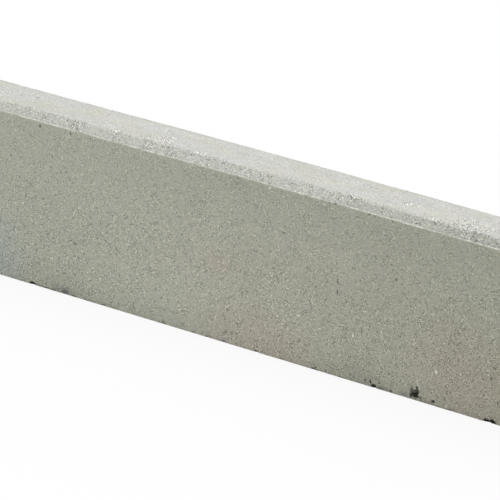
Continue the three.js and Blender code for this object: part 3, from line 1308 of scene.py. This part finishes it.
def run_tree(target, tree, values, name):
    """Runs a tree on an object and returns the result as a plain mesh."""
    modifier = target.modifiers.new(tree.name, "NODES")
    modifier.node_group = tree
    for item in tree.interface.items_tree:
        if item.in_out == "INPUT" and item.name in values:
            modifier[item.identifier] = values[item.name]
    shown = target.evaluated_get(bpy.context.evaluated_depsgraph_get())
    mesh = bpy.data.meshes.new_from_object(shown)
    mesh.name = name
    target.modifiers.remove(modifier)
    mesh.calc_loop_triangles()
    print(f"{name}: {len(mesh.loop_triangles)} triangles")
    return mesh


plain_mesh = skin.data
skin.data = run_tree(skin, weather_tree(concrete), WEATHER, "kerb_skin_weathered")
bpy.data.meshes.remove(plain_mesh)

# %% [markdown]
# ## Exposed grit
#
# Where the cement skin is open, grains of grit stand out of it, thickly on the bevel and thinly on the
# faces, and they catch the light one by one. A second tree scatters points over the weathered skin,
# more where the sand is open, sinks them a little, and puts a grain on each. A grain is a 20-faced
# ball pulled out of shape, because there are thousands of them, and it keeps a tone for its paint.

# %% Strew the grit
GRIT = {  # the first two are per square metre of fully open sand
    "Grains on the faces": 18000.0,
    "Grains on the bevel": 330000.0,
    "Smallest grain": 0.3 * MM,
    "Largest grain": 0.75 * MM,
    "Sunk share": 0.35,
}
GRIT_TONES = [  # from the darkest grains to the palest
    (0.0, display(96, 97, 90)),
    (0.25, display(150, 150, 140)),
    (0.65, display(196, 195, 184)),
    (1.0, display(240, 238, 230)),
]
FLECK = 0.4 * MM
FLECK_DARKEST = 0.9
FLECK_SWING = 0.2
LEAST_SHAPE = (0.7, 0.7, 0.7)
MOST_SHAPE = (1.3, 1.3, 1.3)
NO_TURN = (0.0, 0.0, 0.0)
FULL_TURN = (math.tau, math.tau, math.tau)
GRIT_SEEDS = {"place": 3, "size": 5, "shape": 7, "turn": 11, "tone": 13}


def grit_material():
    """Grains from dark to pale, each a little flecked."""
    material, graph, place = new_material("bare_grit")
    tone = graph.attribute("grain_tone")
    colour = GRIT_TONES[0][1]
    for (start, _), (end, paler) in zip(GRIT_TONES, GRIT_TONES[1:]):
        share = graph.node("ShaderNodeMapRange", {"Value": tone, "From Min": start, "From Max": end})
        colour = mix(graph, share, colour, paler)
    colour = shaded(graph, colour, FLECK_DARKEST + FLECK_SWING * graph.noise(place, FLECK))
    coat(graph, {"Base Color": colour, "Roughness": 0.75, "Specular IOR Level": 0.35})
    return material


def grit_tree(material):
    """The tree that strews the grains, turns each its own way and gives it a tone."""
    graph, wires = geometry_tree("exposed_grit", GRIT)
    on_bevel = wires["Grains on the bevel"] * named(graph, "grit_share")
    density = (wires["Grains on the faces"] + on_bevel) * named(graph, "open_sand")

    def chance(kind, low, high, seed):
        """A random value for each grain, from low to high."""
        sockets = {"Min": low, "Max": high, "Seed": GRIT_SEEDS[seed]}
        return graph.node("FunctionNodeRandomValue", sockets, "Value", data_type=kind)

    sockets = {"Mesh": wires["Geometry"], "Density": density, "Seed": GRIT_SEEDS["place"]}
    points = graph.node("GeometryNodeDistributePointsOnFaces", sockets, distribute_method="RANDOM")
    size = chance("FLOAT", wires["Smallest grain"], wires["Largest grain"], "size")
    down = graph.vector("SCALE", graph.beside(points, "Normal"), size * wires["Sunk share"] * -1.0)
    sunk = graph.node("GeometryNodeSetPosition", {"Geometry": points, "Offset": down})
    toned = kept(graph, sunk, "grain_tone", chance("FLOAT", 0.0, 1.0, "tone"))
    shape = chance("FLOAT_VECTOR", LEAST_SHAPE, MOST_SHAPE, "shape")
    turn = chance("FLOAT_VECTOR", NO_TURN, FULL_TURN, "turn")
    ball = graph.node("GeometryNodeMeshIcoSphere", {"Radius": 1.0, "Subdivisions": 1}, "Mesh")
    scaled = graph.vector("SCALE", shape, size)
    sockets = {"Points": toned, "Instance": ball, "Rotation": turn, "Scale": scaled}
    grit = graph.node("GeometryNodeInstanceOnPoints", sockets)
    return hand_out(graph, grit, material)


grit = put("exposed_grit", run_tree(skin, grit_tree(grit_material()), GRIT, "exposed_grit"))

# %% Hand the pieces over
for piece in (skin, grit):
    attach(piece, "root")
    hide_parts("kerb_stone")
